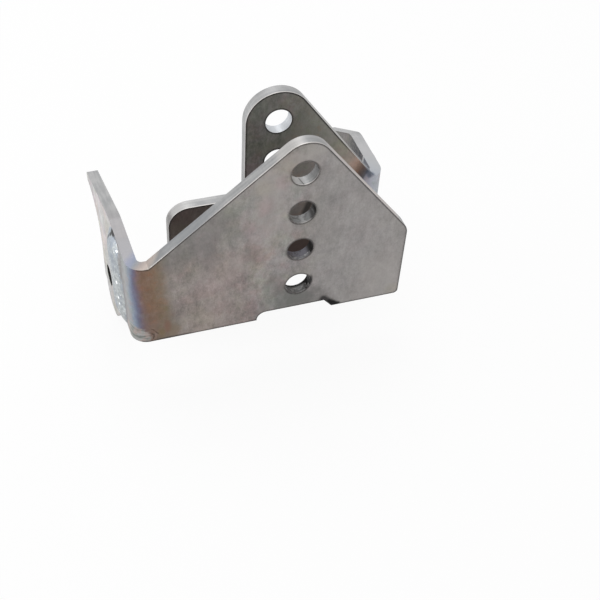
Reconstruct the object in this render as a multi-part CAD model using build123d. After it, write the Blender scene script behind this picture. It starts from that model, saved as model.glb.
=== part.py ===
from build123d import *
import math
import os

# Track bar relocation bracket, in millimetres and degrees.
# The origin is on the centre line of the axle tube, in the plane of the bolt holes.
# X runs along the tube, Y points away from the bolt plates and Z points up.

# Steel
plate = 6.35
bend_inside_radius = 2.65

# Axle tube and the seat that fits over it
tube_radius = 26.0
tube_clearance = 0.5
tube_behind_front_face = 103.5
tube_above_base = 4.0

# Row of bolt holes, through both plates
bolt_hole_radius = 7.2
bolt_pitch = 25.4
bolt_count = 4
lowest_bolt_height = 22.5
bar_gap = 38.1

# Front plate, seen from the front
front_left_reach = 91.3
front_right_reach = 61.0
front_shoulder_height = 53.5
front_head_margin = 17.1
front_head_radius = 14.0
front_left_slope = 39.9
front_right_slope = 51.6
front_right_corner_radius = 10.0
front_foot_radius = 2.5
relief_left = 23.0
relief_right = 20.8
relief_right_run = 4.6
relief_height = 5.5
relief_corner_radius = 5.3
relief_corner_wall = 0.1
relief_lip_radius = 0.8

# Rear plate, seen from the front
rear_right_reach = 65.5
rear_shoulder_height = 50.3
rear_head_margin = 17.9
rear_right_slope = 53.3
rear_lobe_reach = 60.7
rear_lobe_corner_radius = 12.0
rear_lobe_inner_radius = 6.0
rear_foot_radius = 3.0

# Side arms
left_flare = 1.8
left_foot_drop = 2.5
left_shoulder_length = 44.5
left_tip_length = 107.5
left_tip_height = 35.9
left_shoulder_radius = 20.0
right_shoulder_length = 41.5
right_tip_length = 83.0
right_tip_height = 24.6
right_shoulder_radius = 15.0
tip_radius = 1.2

# Hanging lobe of the left arm. Its bottom drops from the step, and the bottom edge and the
# bolt hole are counted from the lobe's back.
lobe_hole_radius = 6.35
lobe_hole_length = 10.5
lobe_hole_drop = 5.0
lobe_back_length = 72.0
lobe_step_drop = 18.0
lobe_bottom_drop = 11.5
lobe_bottom_length = 21.0
lobe_back_radius = 10.0
lobe_front_radius = 18.0

# Welded seams between the flanges and the arms
root_gap = 1.5
left_seam = 27.0
left_crown_width = 27.0
left_crown_height = 3.8
left_crown_top_lean = 5.0
left_crown_foot_lean = -1.0
left_crown_overrun = 1.0
right_seam = 19.0
right_crown_width = 18.0
right_crown_height = 3.0
right_crown_top_lean = 0.5
right_crown_foot_lean = -0.5
right_crown_overrun = 0.0
crown_dabs = 7

front_face = -tube_behind_front_face
rear_face = front_face + plate + bar_gap
base = -tube_above_base
top_bolt_height = lowest_bolt_height + (bolt_count - 1) * bolt_pitch
seat_radius = tube_radius + tube_clearance
tall = 2 * top_bolt_height


def meet(first, second):
    """Point where two lines cross, each given as the angle and length of its normal."""
    a, p = math.radians(first[0]), first[1]
    b, q = math.radians(second[0]), second[1]
    turn = math.sin(b - a)
    return (p * math.sin(b) - q * math.sin(a)) / turn, (q * math.cos(a) - p * math.cos(b)) / turn


def closed_outline(corners, plane):
    """Flat face with rounded corners, from (across, up, radius) corners on a plane."""
    points = [(across, up) for across, up, radius in corners]
    radii = [radius for across, up, radius in corners]
    with BuildSketch(plane) as sketch:
        with BuildLine():
            FilletPolyline(*points, radius=radii, close=True)
        make_face()
    return sketch.sketch


def front_view(corners):
    """Prism of an outline drawn in front view, heights counted from the base edge."""
    plane = Plane(origin=(0, front_face - plate, base), x_dir=(1, 0, 0), z_dir=(0, -1, 0))
    return extrude(closed_outline(corners, plane), amount=-tall)


def side_view(corners, side, reach, face):
    """Plate in side view: lengths counted back from a face, heights from the base edge."""
    plane = Plane(origin=(side * reach, face, base), x_dir=(0, 1, 0), z_dir=(1, 0, 0))
    return extrude(closed_outline(corners, plane), amount=-side * plate)


def bent_sheet(face, side, reach, far_end, flange, flare):
    """Upright sheet: a face, one bend and a short flange, its length counted from the face."""
    turn = math.radians(flare) * -side
    along = Vector(-math.sin(turn), math.cos(turn))
    inward = Vector(math.cos(turn), math.sin(turn)) * -side
    corner = Vector(side * reach, face)
    flange_end = corner + along * flange
    inner_run = (plate - inward.Y * plate) / along.Y
    inner_corner = corner + inward * plate + along * inner_run
    inner_end = flange_end + inward * plate
    corners = [
        (far_end, face, 0),
        (corner.X, corner.Y, bend_inside_radius + plate),
        (flange_end.X, flange_end.Y, 0),
        (inner_end.X, inner_end.Y, 0),
        (inner_corner.X, inner_corner.Y, bend_inside_radius),
        (far_end, face + plate, 0),
    ]
    floor = Plane.XY.offset(base - plate)
    return extrude(closed_outline(corners, floor), amount=tall)


def bolt_holes():
    """Cylinders of the bolt row, through both plates."""
    holes = []
    for number in range(bolt_count):
        height = base + lowest_bolt_height + number * bolt_pitch
        spot = Location((0, (front_face + rear_face + plate) / 2, height), (90, 0, 0))
        holes.append(spot * Cylinder(bolt_hole_radius, bar_gap + 4 * plate))
    return holes


def tube_seat():
    """Space of the axle tube, open downwards so that the arms drop over it."""
    length = 4 * front_left_reach
    tube = Rot(0, 90, 0) * Cylinder(seat_radius, length)
    slot = Box(length, 4 * seat_radius, tall, align=(Align.CENTER, Align.MIN, Align.MAX))
    return tube + Pos(0, -seat_radius, 0) * slot


def flared(solid, side, reach, face, flare):
    """Turn a side piece outwards about the upright line at the outer corner of its bend."""
    axis = Axis((side * reach, face, 0), (0, 0, 1))
    return solid.rotate(axis, -side * flare)


def front_plate():
    top = top_bolt_height
    left_slope = (90 + front_left_slope, front_head_margin)
    right_slope = (90 - front_right_slope, front_head_margin)
    shoulder = (90, front_shoulder_height - top)
    relief_corner = min(relief_corner_radius, relief_height - relief_corner_wall)
    apex = meet(left_slope, right_slope)
    left = meet(left_slope, shoulder)
    right = meet(right_slope, (0, front_right_reach))
    beyond = -front_left_reach - left_seam
    corners = [
        (beyond, 0, 0),
        (beyond, front_shoulder_height, 0),
        (left[0], front_shoulder_height, 0),
        (apex[0], top + apex[1], front_head_radius),
        (right[0], top + right[1], front_right_corner_radius),
        (front_right_reach, 0, front_foot_radius),
        (relief_right, 0, relief_lip_radius),
        (relief_right - relief_right_run, relief_height, relief_lip_radius),
        (-relief_left, relief_height, relief_corner),
        (-relief_left, 0, 0),
    ]
    far_end = front_right_reach + plate
    flange = left_seam - root_gap / 2
    sheet = bent_sheet(front_face, -1, front_left_reach, far_end, flange, left_flare)
    return (sheet & front_view(corners)) - bolt_holes()


def rear_plate():
    top = top_bolt_height
    left_edge = (180, rear_head_margin)
    right_slope = (90 - rear_right_slope, rear_head_margin)
    shoulder = (90, rear_shoulder_height - top)
    apex = meet(left_edge, right_slope)
    right = meet(right_slope, shoulder)
    beyond = rear_right_reach + right_seam
    corners = [
        (-rear_lobe_reach, 0, rear_foot_radius),
        (-rear_lobe_reach, rear_shoulder_height, rear_lobe_corner_radius),
        (-rear_head_margin, rear_shoulder_height, rear_lobe_inner_radius),
        (apex[0], top + apex[1], rear_head_margin),
        (right[0], rear_shoulder_height, 0),
        (beyond, rear_shoulder_height, 0),
        (beyond, 0, 0),
    ]
    far_end = -rear_lobe_reach - plate
    flange = right_seam - root_gap / 2
    sheet = bent_sheet(rear_face, 1, rear_right_reach, far_end, flange, 0)
    return (sheet & front_view(corners)) - bolt_holes()


def left_arm():
    start = left_seam + root_gap / 2
    lobe_bottom = -lobe_step_drop - lobe_bottom_drop
    corners = [
        (start, -left_foot_drop, 0),
        (start, front_shoulder_height, 0),
        (left_shoulder_length, front_shoulder_height, left_shoulder_radius),
        (left_tip_length, left_tip_height, tip_radius),
        (tube_behind_front_face, tube_above_base, 0),
        (tube_behind_front_face, -lobe_step_drop, 0),
        (lobe_back_length, -lobe_step_drop, 0),
        (lobe_back_length, lobe_bottom, lobe_back_radius),
        (lobe_back_length - lobe_bottom_length, lobe_bottom, lobe_front_radius),
    ]
    arm = side_view(corners, -1, front_left_reach, front_face)
    hole_y = front_face + lobe_back_length - lobe_hole_length
    hole_spot = (-front_left_reach, hole_y, base - lobe_hole_drop)
    hole = Location(hole_spot, (0, 90, 0)) * Cylinder(lobe_hole_radius, 4 * plate)
    arm = flared(arm - hole, -1, front_left_reach, front_face, left_flare)
    return arm - tube_seat()


def right_arm():
    start = right_seam + root_gap / 2
    tube = tube_behind_front_face - plate - bar_gap
    corners = [
        (start, 0, 0),
        (start, rear_shoulder_height, 0),
        (right_shoulder_length, rear_shoulder_height, right_shoulder_radius),
        (right_tip_length, right_tip_height, tip_radius),
        (tube, tube_above_base, 0),
        (tube, 0, 0),
    ]
    return side_view(corners, 1, rear_right_reach, rear_face) - tube_seat()


def weld_bead(height, crown_width, crown_height, crown_overrun, top_lean, foot_lean):
    """Weld metal of a seam: the filled root gap, and the crown laid over it in dabs.

    The crown starts at the top of the seam and runs past its foot. Its ends lean along the arm.
    """
    dab_radius = (crown_width**2 / 4 + crown_height**2) / (2 * crown_height)
    first = Vector(crown_height - dab_radius, top_lean, -crown_width / 2)
    last = Vector(crown_height - dab_radius, foot_lean, crown_width / 2 - height - crown_overrun)
    step = (last - first) * (1 / (crown_dabs - 1))
    dabs = [Location(first + step * number) * Sphere(dab_radius) for number in range(crown_dabs)]
    crown = dabs[0].fuse(*dabs[1:])
    outside = Box(plate, 2 * crown_width, tall, align=(Align.MIN, Align.CENTER, Align.MAX))
    root = Box(plate, root_gap, height, align=(Align.MAX, Align.CENTER, Align.MAX))
    return root + (crown & outside)


def left_seam_weld():
    bead = weld_bead(
        front_shoulder_height + left_foot_drop,
        left_crown_width,
        left_crown_height,
        left_crown_overrun,
        left_crown_top_lean,
        left_crown_foot_lean,
    )
    spot = Pos(-front_left_reach, front_face + left_seam, base + front_shoulder_height)
    bead = spot * bead.mirror(Plane.YZ)
    return flared(bead, -1, front_left_reach, front_face, left_flare)


def right_seam_weld():
    bead = weld_bead(
        rear_shoulder_height,
        right_crown_width,
        right_crown_height,
        right_crown_overrun,
        right_crown_top_lean,
        right_crown_foot_lean,
    )
    return Pos(rear_right_reach, rear_face + right_seam, base + rear_shoulder_height) * bead


def main():
    pieces = {
        "front_plate": front_plate(),
        "left_arm": left_arm(),
        "left_seam_weld": left_seam_weld(),
        "rear_plate": rear_plate(),
        "right_arm": right_arm(),
        "right_seam_weld": right_seam_weld(),
    }
    os.makedirs("parts", exist_ok=True)
    for name, piece in pieces.items():
        solids = piece.solids()
        export_step(solids[0] if len(solids) == 1 else piece, f"parts/{name}.step")
        print(name, len(solids), round(piece.volume))


if __name__ == "__main__":
    main()
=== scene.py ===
import bpy
from mathutils import Matrix

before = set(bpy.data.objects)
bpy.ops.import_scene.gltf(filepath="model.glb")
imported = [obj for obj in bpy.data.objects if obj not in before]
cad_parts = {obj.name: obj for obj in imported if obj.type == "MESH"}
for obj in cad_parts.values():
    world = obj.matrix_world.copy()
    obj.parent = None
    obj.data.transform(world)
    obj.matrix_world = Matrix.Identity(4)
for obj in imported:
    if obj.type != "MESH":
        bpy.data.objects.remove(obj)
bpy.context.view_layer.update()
print("frame loaded", sorted(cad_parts))

perMetre = 1000.0  # finishes are written in millimetres, Blender works in metres
fullTurn = 6.2832
cloudMiddle = 0.5  # the grey that a noise varies around


class Wire:
    # one socket of a material, so that finishes can be written as sums
    def __init__(self, finish, socket):
        self.finish = finish
        self.socket = socket

    def calc(self, operation, first, second=0.0):
        return self.finish.add("ShaderNodeMath", {"operation": operation}, {0: first, 1: second})

    def __add__(self, other):
        return self.calc("ADD", self, other)

    def __radd__(self, other):
        return self.calc("ADD", other, self)

    def __sub__(self, other):
        return self.calc("SUBTRACT", self, other)

    def __rsub__(self, other):
        return self.calc("SUBTRACT", other, self)

    def __mul__(self, other):
        return self.calc("MULTIPLY", self, other)

    def __rmul__(self, other):
        return self.calc("MULTIPLY", other, self)

    def __truediv__(self, other):
        return self.calc("DIVIDE", self, other)

    def __rtruediv__(self, other):
        return self.calc("DIVIDE", other, self)

    def __pow__(self, other):
        return self.calc("POWER", self, other)

    def __rpow__(self, other):
        return self.calc("POWER", other, self)

    def __abs__(self):
        return self.calc("ABSOLUTE", self)

    def above(self, limit):
        return self.calc("GREATER_THAN", self, limit)

    def below(self, limit):
        return self.calc("LESS_THAN", self, limit)

    def within(self, low, high):
        return self.above(low) * self.below(high)

    def wave(self, gap):
        # 1 to -1 and back over each gap
        return self.calc("COSINE", self * (fullTurn / gap))

    def larger(self, other):
        return self.calc("MAXIMUM", self, other)

    def smaller(self, other):
        return self.calc("MINIMUM", self, other)

    def fade(self, start, end, low=0.0, high=1.0):
        # soft step from low at start to high at end
        settings = {"interpolation_type": "SMOOTHSTEP", "clamp": True}
        inputs = {"Value": self, "From Min": start, "From Max": end, "To Min": low, "To Max": high}
        return self.finish.add("ShaderNodeMapRange", settings, inputs)


class Finish:
    # nodes of one material, or of the world, under construction
    def __init__(self, owner):
        self.owner = owner
        self.owner.use_nodes = True
        self.tree = self.owner.node_tree
        self.tree.nodes.clear()
        self.clouds = {}

    def measure(self):
        # places in millimetres from the bracket's origin, and the way the surface faces
        place = self.add("ShaderNodeTexCoord", {}, {}, "Object")
        self.place = self.add("ShaderNodeVectorMath", {"operation": "SCALE"}, {0: place, "Scale": perMetre})
        self.x, self.y, self.z = self.parts(self.place)
        self.facing = self.add("ShaderNodeNewGeometry", {}, {}, "True Normal")
        self.nx, self.ny, self.nz = self.parts(self.facing)
        return self

    def add(self, kind, settings=None, inputs=None, output=0):
        # any node: its settings first, then values or links for its sockets
        node = self.tree.nodes.new(kind)
        for key, value in (settings or {}).items():
            if key == "stops":
                ramp = node.color_ramp
                while len(ramp.elements) < len(value):
                    ramp.elements.new(0.5)
                for element, (place, colour) in zip(ramp.elements, value):
                    element.position = place
                    element.color = (*colour, 1.0)
            else:
                setattr(node, key, value)
        for key, value in (inputs or {}).items():
            if isinstance(value, Wire):
                self.tree.links.new(value.socket, node.inputs[key])
            else:
                node.inputs[key].default_value = value
        return Wire(self, node.outputs[output] if len(node.outputs) else None)

    def parts(self, vector):
        node = self.add("ShaderNodeSeparateXYZ", {}, {0: vector}).socket.node
        return [Wire(self, socket) for socket in node.outputs]

    def noise(self, size, stretch=(1, 1, 1), detail=3.0, roughness=0.55, shift=0.0):
        # size is the width of one blotch in millimetres, and shift picks another part of the cloud
        kind = (size, stretch, detail, roughness, shift)
        if kind not in self.clouds:
            repeats = tuple(1 / (size * part) for part in stretch)
            inputs = {"Vector": self.place, "Location": (shift, shift, shift), "Scale": repeats}
            scaled = self.add("ShaderNodeMapping", {"vector_type": "POINT"}, inputs)
            inputs = {"Vector": scaled, "Scale": 1.0, "Detail": detail, "Roughness": roughness}
            self.clouds[kind] = self.add("ShaderNodeTexNoise", {}, inputs, "Fac")
        return self.clouds[kind]

    def uneven(self, cloud, depth):
        # a cloud around 0, as deep as asked
        return (self.noise(**cloud) - cloudMiddle) * depth

    def patches(self, mark):
        # the paler parts of a mark's cloud
        return self.noise(**mark["cloud"]).fade(*mark["patchy"])

    def blend(self, amount, first, second, way="MIX"):
        # colours, A and B are sockets 6 and 7 of a colour Mix
        settings = {"data_type": "RGBA", "blend_type": way}
        return self.add("ShaderNodeMix", settings, {0: amount, 6: first, 7: second}, 2)

    def lay(self, mask, colour, mark):
        # one mark over a colour, as deep as the mark says
        return self.blend(mask * mark["depth"], colour, mark["colour"])

    def ramp(self, value, stops):
        return self.add("ShaderNodeValToRGB", {"stops": stops}, {0: value})

    def surface(self, colour, roughness, metallic, bumps):
        # each bump is its height and how many millimetres that stands for
        normal = None
        for height, reach in bumps:
            inputs = {"Height": height, "Strength": 1.0, "Distance": reach / perMetre}
            if normal is not None:
                inputs["Normal"] = normal
            normal = self.add("ShaderNodeBump", {}, inputs)
        inputs = {"Base Color": colour, "Roughness": roughness, "Metallic": metallic, "Normal": normal}
        return self.output(self.add("ShaderNodeBsdfPrincipled", {}, inputs))

    def output(self, shader, kind="ShaderNodeOutputMaterial"):
        self.add(kind, {}, {0: shader})
        return self.owner


def grey(level, warm=0.0):
    # warm above 0 leans to red, below 0 to blue
    return (level * (1 + warm), level, level * (1 - warm), 1.0)


def fromSpot(p, q, spot):
    # distance from a point, p and q are the two coordinates it is drawn in
    return ((p - spot[0]) ** 2 + (q - spot[1]) ** 2) ** 0.5


def fromLine(p, q, start, end):
    # distance from a straight mark
    dp, dq = end[0] - start[0], end[1] - start[1]
    along = ((p - start[0]) * dp + (q - start[1]) * dq) / (dp * dp + dq * dq)
    along = along.larger(0.0).smaller(1.0)
    return ((p - start[0] - along * dp) ** 2 + (q - start[1] - along * dq) ** 2) ** 0.5


# the first two are the rolled faces, and the four tones after them are multiplied over other colours
steel = {
    "darkFace": (0.190, 0.178, 0.170, 1.0),
    "paleFace": (0.430, 0.398, 0.384, 1.0),
    "pinkish": (1.045, 0.960, 0.975, 1.0),
    "greenish": (0.960, 1.012, 0.965, 1.0),
    "yellowish": (1.010, 1.000, 0.940, 1.0),
    "bluish": (0.985, 1.000, 1.030, 1.0),
    "dark": (0.190, 0.180, 0.172, 1.0),
    "pale": (0.420, 0.392, 0.375, 1.0),
    "cut": (0.420, 0.420, 0.420, 1.0),
    "cutDark": (0.300, 0.304, 0.310, 1.0),
    # the next colour is a painted highlight along the front edge of the cut faces
    "edgeHighlight": (0.640, 0.610, 0.590, 1.0),
    # this colour and the next are used for real burns and soot and also for painted shade
    "burntAndShade": (0.030, 0.028, 0.028, 1.0),
    "sootAndShade": (0.005, 0.005, 0.005, 1.0),
    "metallic": 0.8,
    "faceRoughness": 0.5,
    "cutRoughness": 0.42,
    "uneven": 0.2,  # how much the roughness varies
    "rimWidth": 0.0026,  # in metres
    "rimSoft": (0.01, 0.09),
    "rimSamples": 8,
    "grain": {"size": 1.3, "detail": 3, "roughness": 0.7},
    "speck": {"size": 0.55, "detail": 2, "shift": 7},
    "grainDepth": 0.05,  # depths of the bumps in millimetres
    "speckDepth": 0.03,
    "lineDepth": 0.05,
}
# a surface is face on to an axis where its normal lies along it by more than this, side on where by less
faceOn = 0.9
sideOn = 0.3

# heat colours on the plate by distance from the seam round the bend, as a share of tintEnd
leftHeat = [
    (0.00, (0.300, 0.308, 0.325)),
    (0.34, (0.305, 0.312, 0.318)),
    (0.42, (0.302, 0.330, 0.360)),
    (0.47, (0.255, 0.300, 0.368)),
    (0.51, (0.200, 0.233, 0.312)),
    (0.55, (0.160, 0.168, 0.248)),
    (0.59, (0.164, 0.138, 0.188)),
    (0.64, (0.205, 0.138, 0.130)),
    (0.69, (0.218, 0.137, 0.098)),
    (0.79, (0.232, 0.156, 0.106)),
    (0.85, (0.228, 0.172, 0.122)),
    (0.92, (0.245, 0.202, 0.160)),
    (1.00, (0.300, 0.262, 0.228)),
]
rightHeat = [
    (0.00, (0.420, 0.428, 0.445)),
    (0.24, (0.460, 0.480, 0.525)),
    (0.29, (0.440, 0.435, 0.500)),
    (0.315, (0.330, 0.325, 0.385)),
    (0.328, (0.115, 0.112, 0.132)),
    (0.350, (0.112, 0.092, 0.092)),
    (0.370, (0.140, 0.104, 0.090)),
    (0.395, (0.240, 0.168, 0.130)),
    (0.420, (0.420, 0.295, 0.235)),
    (0.445, (0.515, 0.375, 0.312)),
    (0.480, (0.455, 0.388, 0.335)),
    (0.550, (0.430, 0.388, 0.345)),
    (0.600, (0.410, 0.370, 0.322)),
    (0.680, (0.370, 0.342, 0.325)),
    (0.800, (0.345, 0.328, 0.300)),
    (1.000, (0.270, 0.255, 0.238)),
]
# the same on the lighter cut edges
leftEdgeHeat = [
    (0.00, (0.300, 0.294, 0.305)),
    (0.36, (0.300, 0.296, 0.312)),
    (0.43, (0.235, 0.248, 0.318)),
    (0.49, (0.195, 0.220, 0.295)),
    (0.55, (0.205, 0.215, 0.235)),
    (0.62, (0.290, 0.245, 0.228)),
    (0.69, (0.400, 0.335, 0.300)),
    (0.75, (0.360, 0.325, 0.300)),
    (0.82, (0.215, 0.218, 0.224)),
    (1.00, (0.235, 0.242, 0.250)),
]
rightEdgeHeat = [
    (0.00, (0.420, 0.420, 0.425)),
    (0.10, (0.400, 0.412, 0.425)),
    (0.22, (0.360, 0.380, 0.415)),
    (0.29, (0.300, 0.305, 0.335)),
    (0.33, (0.175, 0.168, 0.168)),
    (0.45, (0.215, 0.200, 0.188)),
    (0.58, (0.330, 0.322, 0.312)),
    (1.00, (0.400, 0.400, 0.398)),
]

# across is the axis that the plate's thickness runs along, and seam the x and y of its weld
# tintEnd is how far the weld's heat shows, in millimetres round the bend, and waver how ragged that is
# slant widens or narrows it with height: from z, to z, the z where it is nothing, and the rate
# shade and warm are for the rolled faces, edge for the cut ones, rim for the dark line along the outline
frontPlate = {
    "across": "y", "face": -103.5, "marksTo": -102.5, "behind": -90.0, "bendSide": -1, "bendFrom": 80.0,
    "seam": (-91.3, -76.5), "tintEnd": 52.0, "waver": 7.0, "slant": (17.0, 34.0, 20.0, 0.14),
    "heat": leftHeat, "edges": leftEdgeHeat, "shade": 1.0, "warm": 0.0, "edge": 0.90, "rim": 0.7,
}
rearPlate = {
    "across": "y", "face": -59.05, "behind": -56.0, "bendSide": 1, "bendFrom": 56.0,
    "seam": (65.5, -40.05), "tintEnd": 105.0, "waver": 3.0, "slant": (44.0, 200.0, 44.0, 0.5),
    "heat": rightHeat, "edges": rightEdgeHeat, "shade": 0.88, "warm": 0.0, "edge": 0.97, "rim": 0.9,
    "rimLimit": (0.40, 0.64),
}
# on the arms, shade stands for painted light: it makes the left arm's faces lighter and the right arm's
# darker
leftArm = {
    "across": "x", "seam": (-91.3, -76.5), "tintEnd": 40.0, "waver": 7.0,
    "shade": 1.55, "warm": -0.035, "edge": 1.08, "rim": 0.15, "nearSeam": (0.300, 0.288, 0.296, 1.0),
}
rightArm = {
    "across": "x", "seam": (65.5, -40.05), "tintEnd": 30.0, "waver": 7.0,
    "shade": 0.6, "warm": 0.0, "edge": 1.04, "rim": 0.15, "nearSeam": (0.420, 0.420, 0.430, 1.0),
}


# clouds of the blotches, and the x or z between which each change comes in
mottling = {
    "cloud": {"size": 24, "stretch": (1, 1, 1.5), "detail": 5, "roughness": 0.95}, "cloudDepth": 2.0,
    "crust": {"size": 3.8, "stretch": (1, 1, 1.9), "detail": 5, "roughness": 0.85, "shift": 17},
    "crustDepth": 1.75,
    "hue": {"size": 15, "detail": 3, "roughness": 0.7, "shift": 60},
    "warmth": {"size": 19, "detail": 3, "roughness": 0.7, "shift": 31},
    "toned": (0.50, 0.62), "opposite": (0.50, 0.38),
    "plainX": (-12, 14), "plainCloud": 0.75, "plainCrust": 0.80, "plainHue": 0.85,
    "plainColour": (1.11, 1.135, 1.155, 1.0),
    "calmX": (-18, -40), "calmHue": 0.55,
    "brownX": (-8, -34), "brownZ": (58, 42), "brownColour": (1.04, 0.975, 0.95, 1.0),
}


def rolledFace(f, piece):
    # mottled mill surface, on the front plate plainer to the right and browner low on the left
    front = piece is frontPlate
    plain = f.x.fade(*mottling["plainX"]) if front else 0.0
    calm = f.x.fade(*mottling["calmX"], 1.0, mottling["calmHue"]) if front else 1.0
    clouded = f.uneven(mottling["cloud"], mottling["cloudDepth"] - plain * mottling["plainCloud"])
    crusted = f.uneven(mottling["crust"], mottling["crustDepth"] - plain * mottling["plainCrust"])
    face = f.blend(clouded + crusted + cloudMiddle, steel["darkFace"], steel["paleFace"])
    hue = f.noise(**mottling["hue"])
    warmth = f.noise(**mottling["warmth"])
    toning = 1.0 - plain * mottling["plainHue"]
    for tone, first, second in ((hue, "pinkish", "greenish"), (warmth, "yellowish", "bluish")):
        firstPart = tone.fade(*mottling["toned"]) * toning * calm
        secondPart = tone.fade(*mottling["opposite"]) * toning * calm
        face = f.blend(firstPart, face, steel[first], "MULTIPLY")
        face = f.blend(secondPart, face, steel[second], "MULTIPLY")
    if front:
        face = f.blend(plain, face, mottling["plainColour"], "MULTIPLY")
        brown = f.x.fade(*mottling["brownX"]) * f.z.fade(*mottling["brownZ"])
        face = f.blend(brown, face, mottling["brownColour"], "MULTIPLY")
    return f.blend(1.0, face, grey(piece["shade"], piece["warm"]), "MULTIPLY")


# clouds of the torch's marks, how much each counts, and how they are drawn out
# along and across an edge of a plate whose thickness runs along y or x
torch = {
    "streaks": {"size": 1.5, "detail": 3}, "streakShare": 0.6,
    "lines": {"size": 0.8, "detail": 3}, "lineShare": 0.2,
    "patches": {"size": 9, "detail": 2, "shift": 70}, "patchShare": 0.3,
    "marked": (0.36, 0.62), "patched": (0.38, 0.62),
    "y": ((12, 1, 12), (1, 10, 1)),
    "x": ((1, 12, 12), (10, 1, 1)),
}


def cutEdge(f, across, shade):
    # torch-cut edge: long streaks along it and faint lines across the thickness
    along, cross = torch[across]
    streaks = f.noise(stretch=along, **torch["streaks"])
    lines = f.noise(stretch=cross, **torch["lines"])
    patches = f.noise(**torch["patches"])
    level = streaks.fade(*torch["marked"]) * torch["streakShare"]
    level = level + lines.fade(*torch["marked"]) * torch["lineShare"]
    level = level + patches.fade(*torch["patched"]) * torch["patchShare"]
    colour = f.blend(level, steel["cutDark"], steel["cut"])
    return f.blend(1.0, colour, grey(shade), "MULTIPLY"), lines


# cloud that makes marks ragged, and where a mark begins and is full as a share of its size
smudging = {"ragged": {"size": 3.0, "detail": 3, "shift": 80}, "limit": (1.0, 0.2)}


def smudge(f, x, z, wide, high, ragged=0.9):
    # 1 at the middle of an oval mark on the front face, 0 outside it
    edge = f.uneven(smudging["ragged"], ragged)
    return (fromSpot(f.x / wide, f.z / high, (x / wide, z / high)) + edge).fade(*smudging["limit"])


# x, z, half width and half height of each mark, and how strong it is
frontMarks = {
    # dark marks are mottling of the mill surface, and those round the lowest hole are painted shadow
    "dark": [
        (-33, 63, 9, 7, 0.30), (-26, 46, 8, 8, 0.40), (-47, 60, 18, 12, 0.22), (-74, 4, 16, 16, 0.25),
        (-13, 22, 9, 14, 0.40), (1, 7, 22, 15, 0.88), (8, 66, 16, 30, 0.12), (-37, 49, 6, 6, 0.20),
        (-49, 50, 10, 14, 0.50), (-10, 17, 6, 9, 0.55), (9, 10, 6, 5, 0.50), (31, 79, 7, 7, 0.35),
    ],
    "pale": [
        (-18, 74, 15, 38, 0.50), (52, 8, 26, 38, 0.36), (-6, 103, 20, 10, 0.60), (-14, 88, 14, 15, 0.35),
        (-50, 34, 22, 10, 0.12), (-35, 42, 7, 8, 0.40), (-7, 61, 5, 6, 0.45), (-22, 93, 14, 12, 0.40),
        (4, 109, 14, 7, 0.40),
    ],
    "pinkish": [
        (-11, 91, 6, 7, 1.0), (-24, 47, 6, 8, 1.0), (-29, 66, 6, 7, 1.0), (-20, 78, 7, 9, 0.9),
        (-40, 34, 12, 12, 0.6),
    ],
    "yellowish": [(-21, 89, 8, 7, 0.9), (-10, 101, 9, 7, 0.8), (57, 0, 7, 7, 0.9), (-37, 70, 6, 5, 0.6)],
    "greenish": [(-18, 22, 9, 9, 0.9), (-37, 78, 10, 6, 0.7), (-60, 48, 9, 12, 0.5), (-5, 9, 18, 13, 0.9)],
    "bluish": [(-2, 8, 18, 14, 0.9)],
}
# x and z of both ends of each line, how far from it the mark begins and is full, and how strong it is
slopeShadow = ("dark", (-68, 53), (-43, 74), 15, 2, 0.45)
stepDarkMarks = {
    "ragged": {"size": 2.0, "detail": 3, "shift": 80},
    "lines": [
        ("dark", (15.6, 2.8), (21.0, -2.4), 6.5, 1.0, 0.6),
        ("burntAndShade", (15.6, 2.8), (21.0, -2.4), 3.6, 1.0, 0.9),
        ("sootAndShade", (19.2, -1.6), (23.6, -4.0), 3.6, 1.5, 0.97),
    ],
}
# painted shade beside the right rim of the lowest hole
lowestRimShade = {"smudge": (7.2, 19.8, 1.7, 5.5, 0.5), "colour": steel["burntAndShade"], "depth": 0.9}


def lineMark(f, colour, mark, mask, ragged=0.0):
    kind, start, end, outer, inner, depth = mark
    reach = fromLine(f.x, f.z, start, end) + ragged
    return f.blend(reach.fade(outer, inner) * mask * depth, colour, steel[kind])


def markFront(f, colour):
    # marks on the front face itself, down to a millimetre behind it
    front = f.y.below(frontPlate["marksTo"])
    colour = lineMark(f, colour, slopeShadow, front)
    for kind, marks in frontMarks.items():
        way = "MIX" if kind in ("dark", "pale") else "MULTIPLY"
        for x, z, wide, high, depth in marks:
            colour = f.blend(smudge(f, x, z, wide, high) * front * depth, colour, steel[kind], way)
    # dark marks in the corner of the step
    ragged = f.noise(**stepDarkMarks["ragged"]) - cloudMiddle
    for mark in stepDarkMarks["lines"]:
        colour = lineMark(f, colour, mark, front, ragged)
    # painted shade round the right side of the lowest hole
    return f.lay(smudge(f, *lowestRimShade["smudge"]) * front, colour, lowestRimShade)


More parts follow.
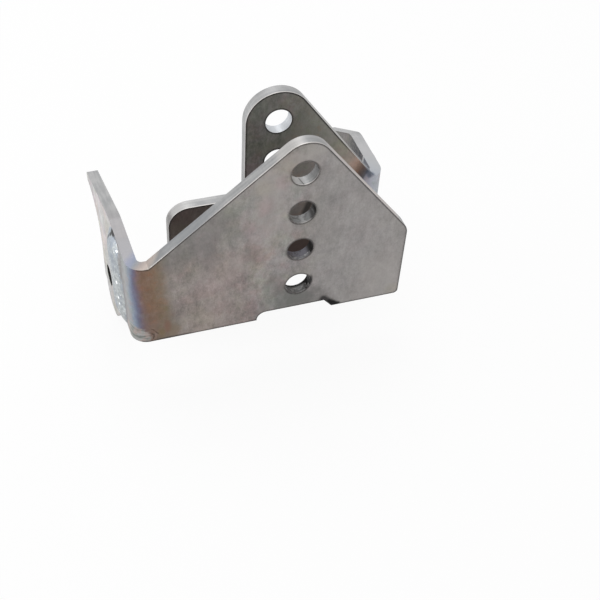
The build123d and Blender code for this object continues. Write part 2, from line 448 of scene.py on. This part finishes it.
# the ground corner is an oval, at x and z, and the arcs are rubbed round another point beside it
# limit is where a mark begins and is full, and a band is the part of each wave that one colour takes
ground = {
    "at": (-88.7, -3.5), "wide": 7.2, "high": 11.0, "limit": (1.05, 0.80), "depth": 0.88,
    "ragged": {"size": 2.2, "detail": 4, "shift": 12}, "raggedDepth": 0.5,
    "strokes": {
        "cloud": {"size": 1.1, "stretch": (5, 5, 1), "detail": 3, "shift": 5}, "patchy": (0.38, 0.62),
    },
    "dark": (0.200, 0.212, 0.192, 1.0), "pale": (0.420, 0.412, 0.396, 1.0),
    "pink": {
        "cloud": {"size": 4.5, "detail": 2, "shift": 66}, "patchy": (0.50, 0.60),
        "colour": (0.460, 0.350, 0.320, 1.0), "depth": 0.5,
    },
}
arcs = {
    "at": (-83.5, -0.2), "first": 5.6, "gap": 2.3, "limit": (7.4, 6.0), "side": (-83.5, -81.0),
    "ragged": {"size": 4.0, "detail": 4, "roughness": 0.6, "shift": 40}, "raggedDepth": 3.2,
    "cloud": {"size": 2.4, "detail": 3, "shift": 52}, "patchy": (0.42, 0.56),
    "pale": {"band": (-0.1, -0.9), "colour": (0.300, 0.225, 0.200, 1.0), "depth": 0.5},
    "dark": {"band": (0.2, 0.9), "colour": (0.075, 0.052, 0.044, 1.0), "depth": 0.75},
}
# as in frontMarks, with a colour in place of the strength
heatSpots = {
    "ragged": 0.6, "depth": 0.6,
    "spots": [
        (-75.8, 1.5, 3.2, 5, (0.205, 0.150, 0.075, 1.0)),
        (-72.8, 5, 3, 8, (0.235, 0.120, 0.085, 1.0)),
        (-69.0, 1, 5, 8, (0.225, 0.165, 0.110, 1.0)),
    ],
}
footLine = {
    "z": (-2.2, -3.2), "x": (-80, -77), "end": -60,
    "colour": (0.075, 0.058, 0.050, 1.0), "depth": 0.45,
}


def groundPatch(f, colour):
    # ground corner under the bend
    wide, high = ground["wide"], ground["high"]
    low = f.y.below(frontPlate["behind"])
    ragged = f.uneven(ground["ragged"], ground["raggedDepth"])
    middle = (ground["at"][0] / wide, ground["at"][1] / high)
    inside = (fromSpot(f.x / wide, f.z / high, middle) + ragged).fade(*ground["limit"]) * low
    brushed = f.blend(f.patches(ground["strokes"]), ground["dark"], ground["pale"])
    colour = f.blend(inside * ground["depth"], colour, brushed)
    return f.lay(f.patches(ground["pink"]) * inside, colour, ground["pink"])


def bendFoot(f, colour):
    # rubbed arcs and brown spots right of the ground corner, and a dark line along the foot
    low = f.y.below(frontPlate["behind"])
    reach = fromSpot(f.x, f.z, arcs["at"]) + f.uneven(arcs["ragged"], arcs["raggedDepth"])
    beside = reach.fade(*arcs["limit"]) * f.x.fade(*arcs["side"]) * low
    broken = f.patches(arcs)
    bands = (reach - arcs["first"]).wave(arcs["gap"])
    for arc in (arcs["pale"], arcs["dark"]):
        colour = f.lay(beside * bands.fade(*arc["band"]) * broken, colour, arc)
    for x, z, wide, high, heat in heatSpots["spots"]:
        spot = smudge(f, x, z, wide, high, heatSpots["ragged"])
        colour = f.blend(spot * low * heatSpots["depth"], colour, heat)
    line = f.z.fade(*footLine["z"]) * f.x.fade(*footLine["x"]) * f.x.below(footLine["end"])
    return f.lay(line * low, colour, footLine)


# two numbers are where a change begins and is complete, and two more how strong it is there
holes = {
    "reach": 7.6, "span": (9, 103.5), "lowest": 28, "third": (34, 40), "top": (84, 90),  # x, then z
    # dull is painted shade: the walls darken downwards, less so in the lowest hole
    "dull": {"z": (98, 36, 0.04, 0.72), "lowestRelief": 0.25, "colour": grey(0.085)},
    "violet": {"colour": (0.175, 0.168, 0.215, 1.0), "depth": 0.5},
    # right and left are painted shade at the sides of the walls
    "right": {"x": (3.8, 6.2), "z": (98, 62, 0.45, 0.95), "relief": (15, 10.5)},
    "left": {"x": (-4.5, -6.6), "depth": 0.35},
    "sides": {
        "cloud": {"size": 3.0, "stretch": (1, 3, 1), "detail": 4, "shift": 44},
        "patchy": (0.35, 0.55, 0.75, 1.0),
    },
    "spots": {
        "cloud": {"size": 2.2, "detail": 3, "shift": 90}, "patchy": (0.50, 0.66),
        "z": (80, 68), "colour": steel["burntAndShade"], "depth": 0.45,
    },
    # shut is the painted shade at the right of the lowest hole and behind it
    "lowestWallShade": {"x": (3.6, 5.6), "z": (13.5, 16.5), "y": (-99.4, -98.2), "depth": 0.8},
    "thirdRim": {"y": -101.4, "colour": grey(0.26), "depth": 0.5},
    "glints": {
        "cloud": {"size": 1.9, "detail": 2, "shift": 24}, "patchy": (0.48, 0.60),
        "top": 16, "y": -99.5, "thirdY": -101.2, "colour": steel["cut"], "depth": 0.7,
    },
    # rear is the colour of the rear plate's hole walls, painted pale as painted light
    "rear": {"colour": (0.640, 0.665, 0.700, 1.0), "depth": 0.75},
    "start": {
        "line": ((-1.4, -98.2), (-0.4, -102.8)), "width": (0.55, 0.2),
        "colour": steel["burntAndShade"], "depth": 0.75,
    },
}


def holeWallShade(f, lowest):
    # painted shade at the right and left of each wall, broken into patches
    right, left = holes["right"], holes["left"]
    wallShade = f.x.fade(*right["x"]) * f.z.fade(*right["z"])
    wallShade = wallShade * (1 - lowest * f.z.fade(*right["relief"]))
    wallShade = wallShade.larger(f.x.fade(*left["x"]) * left["depth"])
    return wallShade * f.patches(holes["sides"])


def holeWalls(f, colour):
    # walls of the bolt holes, with painted shade that deepens downwards and at their sides, darkest in the
    # third one
    inside = abs(f.x).below(holes["reach"]) * f.z.within(*holes["span"]) * abs(f.ny).below(sideOn)
    front = inside * f.y.below(frontPlate["behind"])
    lowest = f.z.below(holes["lowest"])
    third = f.z.within(*holes["third"])
    dull = holes["dull"]
    # painted shade, deeper further down
    deeperShade = f.z.fade(*dull["z"]) - lowest * dull["lowestRelief"]
    colour = f.blend(front * deeperShade, colour, dull["colour"])
    colour = f.lay(front * third, colour, holes["violet"])
    colour = f.blend(front * holeWallShade(f, lowest), colour, steel["burntAndShade"])
    spots = holes["spots"]
    colour = f.lay(front * f.patches(spots) * f.z.fade(*spots["z"]), colour, spots)
    # painted shade: the lowest hole is black at its right and behind
    lowestWallShade = holes["lowestWallShade"]
    shadowBlack = (f.x.fade(*lowestWallShade["x"]) * f.z.fade(*lowestWallShade["z"])).larger(f.y.fade(*lowestWallShade["y"]) * lowestWallShade["depth"])
    colour = f.blend(front * lowest * shadowBlack, colour, steel["sootAndShade"])
    # near rim of the third hole, and glints on it and on the lowest one's
    colour = f.lay(front * third * f.y.below(holes["thirdRim"]["y"]), colour, holes["thirdRim"])
    glints = holes["glints"]
    edge = lowest * f.z.below(glints["top"]) * f.y.below(glints["y"]) + third * f.y.below(glints["thirdY"])
    colour = f.lay(front * f.patches(glints) * edge, colour, glints)
    # painted light: the rear plate's hole walls are made pale
    colour = f.lay(inside - front, colour, holes["rear"])
    # line where the cut starts in the top hole
    start = holes["start"]
    line = fromLine(f.x, f.y, *start["line"]).fade(*start["width"]) * f.z.within(*holes["top"])
    return f.lay(front * line, colour, start)


# cloud that makes the reach of the heat uneven
wavering = {"size": 11, "detail": 4, "roughness": 0.6, "shift": 5}


def seamReach(f, piece):
    # 0 at the seam to 1 where its heat no longer shows, counted round the bend
    x, y = piece["seam"]
    reach = abs(f.x - x) + abs(f.y - y) + f.uneven(wavering, piece["waver"])
    if "slant" in piece:
        low, high, level, rate = piece["slant"]
        reach = reach + (f.z.smaller(high).larger(low) - level) * rate
    return (reach / piece["tintEnd"]).smaller(1.0).larger(0.0)


# painted shadow: black in the gap where the left crown starts, and a thin dark line down each side of it
# y and z of both ends of each line, how far from it the black begins and is full, and how strong it is
gapShadow = {
    "outside": -90.9, "depth": 0.95,
    "lines": [
        ((-68.9, 49.2), (-72.6, 49.4), 2.1, 1.1, 1.0),
        ((-69.2, 49.0), (-69.7, 47.0), 1.3, 0.6, 1.0),
        ((-69.3, 47.5), (-66.0, 41.6), 1.3, 0.5, 0.6),
        ((-72.6, 49.4), (-81.0, 48.8), 1.7, 0.8, 0.55),
        ((-81.0, 48.8), (-86.5, 37.0), 1.2, 0.4, 0.25),
    ],
}


def crownGapShadow(f):
    shadowBlack = 0.0
    for start, end, outer, inner, depth in gapShadow["lines"]:
        shadowBlack = (fromLine(f.y, f.z, start, end).fade(outer, inner) * depth).larger(shadowBlack)
    return shadowBlack * f.x.below(gapShadow["outside"]) * gapShadow["depth"]


# blotches and flecks of the heat colours, where the colours begin on faces and on cut edges, and the width
# and depth of the painted highlight along the front edge of the cut faces
tinting = {
    "blotch": {"size": 5.5, "detail": 4, "roughness": 0.65, "shift": 33}, "blotchDepth": 0.8,
    "redder": (1.10, 0.95, 0.88, 1.0), "redPart": (0.54, 0.64),
    "greener": (0.92, 0.99, 0.90, 1.0), "greenPart": (0.46, 0.36),
    "fleck": {"size": 2.6, "stretch": (1, 1, 1.9), "detail": 4, "roughness": 0.85, "shift": 19},
    "dim": 0.89, "bright": 1.11, "flecked": (0.30, 0.70),
    "cloud": {"size": 5, "detail": 4, "shift": 21}, "patchy": (0.3, 0.6, 0.85, 1.0),
    "limit": (1.0, 0.85), "edgeLimit": (1.0, 0.80), "edgeDepth": 0.85, "edgeHighlightBand": 0.7, "edgeHighlightDepth": 0.7,
}


def heatTint(f, piece, reach):
    tint = f.ramp(reach, piece["heat"])
    blotch = f.noise(**tinting["blotch"])
    redder = blotch.fade(*tinting["redPart"]) * tinting["blotchDepth"]
    greener = blotch.fade(*tinting["greenPart"]) * tinting["blotchDepth"]
    tint = f.blend(redder, tint, tinting["redder"], "MULTIPLY")
    tint = f.blend(greener, tint, tinting["greener"], "MULTIPLY")
    dim, bright = (f.blend(1.0, tint, grey(tinting[level]), "MULTIPLY") for level in ("dim", "bright"))
    return f.blend(f.noise(**tinting["fleck"]).fade(*tinting["flecked"]), dim, bright)


def bentPlate(f, piece, face, cut, reach):
    # heat colours round the bend, on the faces and on the cut edges
    bend = (f.x * piece["bendSide"]).above(piece["bendFrom"])
    flat = abs(f.ny).above(faceOn)
    rolled = flat.larger(bend * abs(f.nz).below(sideOn))
    heated = reach.fade(*tinting["edgeLimit"]) * tinting["edgeDepth"]
    cut = f.blend(heated, cut, f.ramp(reach, piece["edges"]))
    # painted highlight: a pale line along the front edge of the cut faces, away from the bend
    edgeHighlightBand = f.y.below(piece["face"] + tinting["edgeHighlightBand"]) * (1 - bend)
    cut = holeWalls(f, f.blend(edgeHighlightBand * tinting["edgeHighlightDepth"], cut, steel["edgeHighlight"]))
    tinted = reach.fade(*tinting["limit"]) * f.patches(tinting)
    face = f.blend(tinted, face, heatTint(f, piece, reach))
    return face, cut, flat, rolled


# painted shade on the walls of the hole in the left arm's lobe; the same mark also darkens the foot of the
# right arm
lobeHoleShade = {"z": (-16, -2.2), "y": (-49, -35), "colour": steel["burntAndShade"], "depth": 0.95}
nearSeam = {"limit": (1.0, 0.2), "depth": 0.8}
# painted shade, in patches, on the inner face of the right arm, in its upper part
armInnerShade = {
    "facing": -0.5, "y": (-10, -28), "z": (24, 40),
    "cloud": {"size": 1.8, "detail": 3, "shift": 48}, "patchy": (0.40, 0.56, 0.45, 1.0),
    "colour": (0.036, 0.042, 0.052, 1.0), "depth": 0.95,
}


def sideArm(f, piece, face, cut, reach):
    flat = abs(f.nx).above(faceOn)
    cut = f.blend(reach.fade(*nearSeam["limit"]) * nearSeam["depth"], cut, piece["nearSeam"])
    cut = f.lay(f.z.within(*lobeHoleShade["z"]) * f.y.within(*lobeHoleShade["y"]), cut, lobeHoleShade)
    if piece is rightArm:
        # painted shade on the inner face, nearer the rear plate and higher up
        upper = f.nx.below(armInnerShade["facing"]) * f.y.fade(*armInnerShade["y"]) * f.z.fade(*armInnerShade["z"])
        face = f.lay(upper * f.patches(armInnerShade), face, armInnerShade)
    return face, cut, flat, flat


# tones along the front plate's cut edge
frontEdge = {
    "headFrom": 84,
    "right": {"x": (1, 14), "colour": grey(0.20, 0.04), "depth": 0.30},
    "left": {"outer": (-17, -12), "inner": (2, -5), "colour": grey(0.52, 0.04), "depth": 0.45},
    "slope": {"x": (8, 18), "from": 52, "colour": (0.500, 0.430, 0.400, 1.0), "depth": 0.55},
    "dark": {"smudge": (-55, 66, 27, 27, 0.4), "colour": (0.205, 0.215, 0.228, 1.0), "depth": 0.68},
}


def frontDetails(f, face, cut):
    face = bendFoot(f, groundPatch(f, markFront(f, face)))
    right, left, slope, dark = (frontEdge[part] for part in ("right", "left", "slope", "dark"))
    head = f.z.above(frontEdge["headFrom"])
    cut = f.lay(head * f.x.fade(*right["x"]), cut, right)
    cut = f.lay(head * f.x.fade(*left["outer"]) * f.x.fade(*left["inner"]), cut, left)
    cut = f.lay(f.x.fade(*slope["x"]) * f.z.above(slope["from"]), cut, slope)
    return face, f.lay(smudge(f, *dark["smudge"]), cut, dark)


# x, y or z of each change on the rear plate, with its colour and depth
rearMarks = {
    "lobe": {"top": 70, "x": (-18, -24), "colour": (0.088, 0.060, 0.050, 1.0), "depth": 0.65},
    "gap": {
        "z": (60, 4), "left": (-24, -16), "right": (45, 35),
        "colour": (0.032, 0.016, 0.013, 1.0), "depth": 0.95,
    },
    "end": {"x": (-42, -54), "colour": grey(0.62, 0.02), "depth": 0.4},
    "blueEdge": {
        "line": ((54.8, -58.7), (57.4, -56.6)), "width": (3.2, 0.8), "from": 40,
        "colour": (0.060, 0.078, 0.118, 1.0), "depth": 0.88,
    },
    "blueFace": {
        "line": ((54.8, 50.6), (55.6, 47.6)), "width": (2.8, 0.4),
        "colour": (0.060, 0.078, 0.118, 1.0), "depth": 0.7,
    },
    "bend": {
        "facing": -0.3, "fromX": 56, "fromY": -53, "z": (24, 42),
        "colour": (0.060, 0.072, 0.095, 1.0), "depth": 0.85,
    },
    "head": {"from": 70, "depth": 0.8},
    "darkStreak": ("burntAndShade", (18.2, 28.5), (20.2, 34.5), 3.2, 0.8, 0.8),
}


def rearDetails(f, face, cut):
    between = f.y.below(rearPlate["behind"])
    lobe, gap, end = rearMarks["lobe"], rearMarks["gap"], rearMarks["end"]
    face = f.lay(f.z.below(lobe["top"]) * f.x.fade(*lobe["x"]) * between, face, lobe)
    # dark behind the front plate, between the holes and the bend
    shaded = f.z.fade(*gap["z"]) * f.x.fade(*gap["left"]) * f.x.fade(*gap["right"])
    face = f.lay(shaded * between, face, gap)
    cut = f.lay(f.x.fade(*end["x"]), cut, end)
    # dark blue corner on the top edge, inside the bend, and on the face below it
    edge, side = rearMarks["blueEdge"], rearMarks["blueFace"]
    blue = fromLine(f.x, f.y, *edge["line"]).fade(*edge["width"]) * f.z.above(edge["from"])
    cut = f.lay(blue, cut, edge)
    face = f.lay(fromLine(f.x, f.z, *side["line"]).fade(*side["width"]) * between, face, side)
    bend, head = rearMarks["bend"], rearMarks["head"]
    # painted shade, dark blue, on the inner face of the bend, darker towards the top
    within = f.nx.below(bend["facing"]) * f.x.above(bend["fromX"]) * f.y.above(bend["fromY"])
    face = f.lay(within * f.z.fade(*bend["z"]), face, bend)
    face = f.blend(f.z.above(head["from"]) * head["depth"], face, steel["greenish"], "MULTIPLY")
    return lineMark(f, face, rearMarks["darkStreak"], between), cut


def rimLine(f, flat):
    # dark line along each outline of the flat faces
    bevel = f.add("ShaderNodeBevel", {"samples": steel["rimSamples"]}, {"Radius": steel["rimWidth"]})
    turn = f.add("ShaderNodeVectorMath", {"operation": "DOT_PRODUCT"}, {0: bevel, 1: f.facing}, 1)
    return (1 - turn).fade(*steel["rimSoft"]) * flat


def plateSteel(name, piece):
    f = Finish(bpy.data.materials.new(name)).measure()
    reach = seamReach(f, piece)
    cut, lines = cutEdge(f, piece["across"], piece["edge"])
    dress = bentPlate if piece["across"] == "y" else sideArm
    face, cut, flat, rolled = dress(f, piece, rolledFace(f, piece), cut, reach)
    rim = rimLine(f, flat)
    if piece is frontPlate:
        face, cut = frontDetails(f, face, cut)
    if piece is rearPlate:
        face, cut = rearDetails(f, face, cut)
        rim = rim * reach.fade(*piece["rimLimit"])
    face = f.blend(rim * piece["rim"], face, steel["burntAndShade"])
    # painted shadow round the left crown's top end
    if piece in (frontPlate, leftArm):
        face = f.blend(crownGapShadow(f), face, steel["burntAndShade"])
    colour = f.blend(rolled, cut, face)
    grain = f.noise(**steel["grain"])
    speck = f.noise(**steel["speck"])
    uneven = steel["uneven"]
    cutRough = lines * uneven + steel["cutRoughness"] - uneven / 2
    faceRough = grain * uneven + steel["faceRoughness"] - uneven / 2
    # A and B are sockets 2 and 3 of a Mix of numbers
    roughness = f.add("ShaderNodeMix", {"data_type": "FLOAT"}, {0: rolled, 2: cutRough, 3: faceRough})
    bumps = [
        (speck * rolled, steel["speckDepth"]),
        (grain * rolled, steel["grainDepth"]),
        (lines * (1 - rolled), steel["lineDepth"]),
    ]
    return f.surface(colour, roughness, steel["metallic"], bumps)


weld = {
    "silver": (0.455, 0.48, 0.485, 1.0),
    "bluish": (0.28, 0.31, 0.35, 1.0),
    "dull": (0.33, 0.35, 0.36, 1.0),
    # the spark colour is a painted highlight, laid in small spots over the welds
    "highlightSpot": (0.95, 0.97, 0.98, 1.0),
    "lump": {"size": 5.5, "detail": 4, "roughness": 0.55}, "bluePart": (0.52, 0.66, 0.0, 0.7),
    "clot": {"size": 2.0, "detail": 4, "roughness": 0.6, "shift": 15}, "silverPart": (0.36, 0.62),
    "highlightCloud": {"size": 1.1, "detail": 2, "shift": 3}, "highlightPart": (0.66, 0.72, 0.0, 0.8),
    "clotDepth": 0.35, "sparkleDepth": 0.12,  # depths of the bumps in millimetres
    "roughness": 0.50, "uneven": 0.3, "smoother": 0.1,
    "fillDepth": 0.8,  # how much of the arm's own colour the fill takes
}
# the side in view: the top of its crown is stained, the line along its seam brown, and painted highlights
# lie along its ridge
leftCrown = {
    "stain": {
        "cloud": {"size": 4.0, "stretch": (1, 1, 1.6), "detail": 4, "roughness": 0.7, "shift": 27},
        "patchy": (0.42, 0.60, 0.15, 0.95), "z": (24, 40),
    },
    "seam": {
        "line": ((-82.5, 48.0), (-86.3, 30.0)), "width": (2.4, 0.8),
        "colour": (0.230, 0.190, 0.160, 1.0), "depth": 0.5,
    },
    # painted highlights along the ridge: y, z and radius of each, and the part of the radius in which one
    # is full
    "ridgeHighlights": [(-80.4, 44.1, 1.0), (-81.7, 23.2, 1.2), (-83.4, 13.5, 1.0), (-84.2, 9.7, 0.9)],
    "core": 0.5,
}


def markCrown(f, colour):
    stain = leftCrown["stain"]
    colour = f.blend(f.z.fade(*stain["z"]) * f.patches(stain), colour, weld["bluish"])
    seam = leftCrown["seam"]
    colour = f.lay(fromLine(f.y, f.z, *seam["line"]).fade(*seam["width"]), colour, seam)
    # painted highlights along the crown's ridge
    for y, z, radius in leftCrown["ridgeHighlights"]:
        highlightSpot = fromSpot(f.y, f.z, (y, z)).fade(radius, radius * leftCrown["core"])
        colour = f.blend(highlightSpot, colour, weld["highlightSpot"])
    # painted shadow in the gap at the crown's top end
    return f.blend(crownGapShadow(f), colour, steel["burntAndShade"])


def weldMetal(name, side, outer, arm):
    f = Finish(bpy.data.materials.new(name)).measure()
    lump, clot, highlightSpot = (f.noise(**weld[part]) for part in ("lump", "clot", "highlightCloud"))
    colour = f.blend(clot.fade(*weld["silverPart"]), weld["dull"], weld["silver"])
    colour = f.blend(lump.fade(*weld["bluePart"]), colour, weld["bluish"])
    # painted highlights in small spots
    colour = f.blend(highlightSpot.fade(*weld["highlightPart"]), colour, weld["highlightSpot"])
    if side < 0:
        colour = markCrown(f, colour)
    # the fill between the two plates is dressed flush with their edges
    flush = (f.x * side).below(outer)
    cut = cutEdge(f, arm["across"], 1.0)[0]
    colour = f.blend(flush, colour, f.blend(weld["fillDepth"], cut, arm["nearSeam"]))
    rough = (highlightSpot * weld["uneven"] + weld["roughness"] - weld["smoother"]) * (1 - flush)
    rough = rough + flush * steel["cutRoughness"]
    bumps = [(clot * (1 - flush), weld["clotDepth"]), (highlightSpot * (1 - flush), weld["sparkleDepth"])]
    return f.surface(colour, rough, steel["metallic"], bumps)


pieces = {"front_plate": frontPlate, "rear_plate": rearPlate, "left_arm": leftArm, "right_arm": rightArm}
# side of the bracket, the x that the crown starts from on that side, and the arm beside it
welds = {"left_seam_weld": (-1, 92.2, leftArm), "right_seam_weld": (1, 65.6, rightArm)}
for name, piece in pieces.items():
    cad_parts[name].material_slots[0].material = plateSteel("steel_" + name, piece)
for name, (side, outer, arm) in welds.items():
    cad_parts[name].material_slots[0].material = weldMetal("metal_" + name, side, outer, arm)
print("finishes on", len(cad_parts), "nodes")


# the floor is just under the lowest point of the bracket
# white and mirrored are how much white the camera and the reflections see in the floor
room = {
    "floorHeight": -0.0337, "floorSize": 6.0, "floorColour": grey(0.86),
    "white": 0.91, "mirrored": 0.35, "daylight": 0.75,
}


def whiteRays(f):
    # camera rays see a white floor, glossy and transmission rays see part of that white
    kinds = ("Camera", "Glossy", "Transmission")
    camera, glossy, through = (f.add("ShaderNodeLightPath", {}, {}, f"Is {kind} Ray") for kind in kinds)
    return (camera * room["white"]).larger(glossy.larger(through) * room["mirrored"])


def makeFloor():
    half = room["floorSize"] / 2
    mesh = bpy.data.meshes.new("floor")
    corners = [(-half, -half, 0), (half, -half, 0), (half, half, 0), (-half, half, 0)]
    mesh.from_pydata(corners, [], [(0, 1, 2, 3)])
    floor = bpy.data.objects.new("floor", mesh)
    floor.location.z = room["floorHeight"]
    bpy.context.collection.objects.link(floor)
    f = Finish(bpy.data.materials.new("paleFloor"))
    shade = f.add("ShaderNodeBsdfDiffuse", {}, {"Color": room["floorColour"]})
    glow = f.add("ShaderNodeEmission", {}, {"Color": grey(1.0), "Strength": 1.0})
    mesh.materials.append(f.output(f.add("ShaderNodeMixShader", {}, {0: whiteRays(f), 1: shade, 2: glow})))


def makeSky():
    # plain daylight, which the camera and reflections see as white
    f = Finish(bpy.data.worlds.new("room"))
    kinds = ("Camera", "Glossy")
    camera, glossy = (f.add("ShaderNodeLightPath", {}, {}, f"Is {kind} Ray") for kind in kinds)
    level = camera.larger(glossy).fade(0.0, 1.0, room["daylight"], 1.0)
    sky = f.add("ShaderNodeBackground", {}, {"Color": grey(1.0), "Strength": level})
    bpy.context.scene.world = f.output(sky, "ShaderNodeOutputWorld")


lamps = {
    "high": {"at": (0.0, 0.35, 1.0), "size": 0.7, "watts": 3.0},
    "side": {"at": (-0.9, 0.1, 0.1), "size": 0.6, "watts": 5.0},
}


def makeLamps():
    for name, lamp in lamps.items():
        data = bpy.data.lights.new(name, "AREA")
        data.shape = "DISK"
        data.size = lamp["size"]
        data.energy = lamp["watts"]
        thing = bpy.data.objects.new(name, data)
        spot = Matrix.Translation(lamp["at"])
        aim = (-spot.translation).to_track_quat("-Z", "Y").to_matrix().to_4x4()
        thing.matrix_world = spot @ aim
        bpy.context.collection.objects.link(thing)


# seen from the front left and above, rolled by 3 degrees
camera = {
    "at": (-0.1437, -0.4802, 0.4151),
    "right": (0.9490, -0.3113, 0.0509),
    "up": (0.1884, 0.6888, 0.7001),
    "back": (-0.2530, -0.6548, 0.7122),
    "lens": 62.4, "sensor": 36.0,
}


def makeCamera():
    data = bpy.data.cameras.new("view")
    data.lens = camera["lens"]
    data.sensor_width = camera["sensor"]
    thing = bpy.data.objects.new("view", data)
    columns = Matrix((camera["right"], camera["up"], camera["back"])).transposed()
    thing.matrix_world = Matrix.Translation(camera["at"]) @ columns.to_4x4()
    bpy.context.collection.objects.link(thing)
    bpy.context.scene.camera = thing


makeFloor()
makeSky()
makeLamps()
makeCamera()
bpy.context.scene.view_settings.view_transform = "Standard"
print("room, light and camera set")
